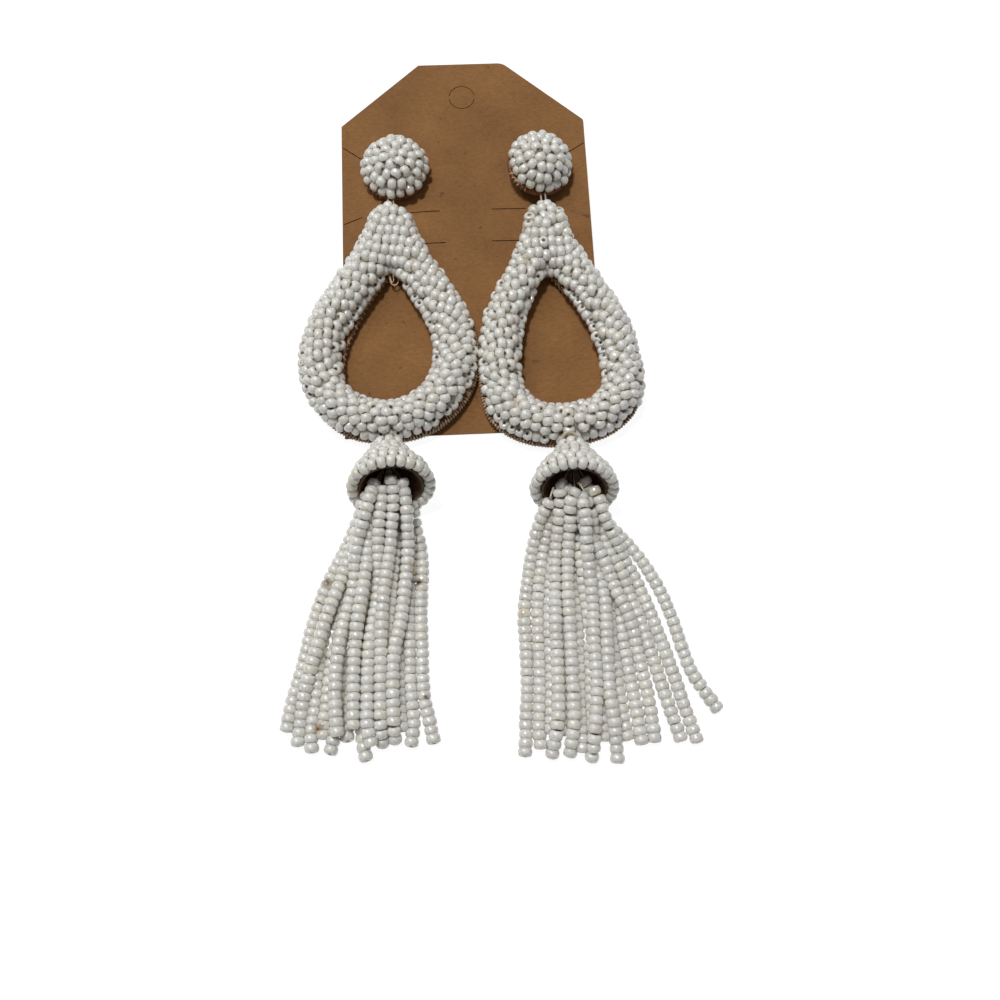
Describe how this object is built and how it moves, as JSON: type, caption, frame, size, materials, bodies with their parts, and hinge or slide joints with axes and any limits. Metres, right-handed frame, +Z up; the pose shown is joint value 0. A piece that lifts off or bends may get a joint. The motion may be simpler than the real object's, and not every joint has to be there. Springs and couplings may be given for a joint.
{
  "type": "beaded dangle earrings on a display card",
  "caption": "Seed-bead dangle earrings with dome studs, open teardrop hoops, bell caps and strand tassels, lying on a kraft paper display card.",
  "frame": {"origin": "centre of the footprint, on the floor that everything lies on", "axes": "+Y from the tassels' ends towards the card's top edge, +Z up, +X to the right as seen from above with the card at the top"},
  "size_m": [0.075, 0.1428, 0.017],
  "materials": {
    "kraft_card": "matte brown kraft paper with fine fibres and specks",
    "white_beads": "glossy opaque off-white seed beads",
    "brown_leather": "thin brown leather with gold whip stitch at its edge",
    "post_metal": "plain satin steel"
  },
  "bodies": {
    "root": {"display_card": "kraft_card", "left_stud_dome": "white_beads", "left_stud_backing": "brown_leather", "left_ear_post": "post_metal", "left_ear_nut": "post_metal", "left_hoop": "white_beads", "left_hoop_backing": "brown_leather", "left_cap": "white_beads", "left_cap_lining": "brown_leather", "left_tassel": "white_beads", "right_stud_dome": "white_beads", "right_stud_backing": "brown_leather", "right_ear_post": "post_metal", "right_ear_nut": "post_metal", "right_hoop": "white_beads", "right_hoop_backing": "brown_leather", "right_cap": "white_beads", "right_cap_lining": "brown_leather", "right_tassel": "white_beads"}
  },
  "joints": []
}
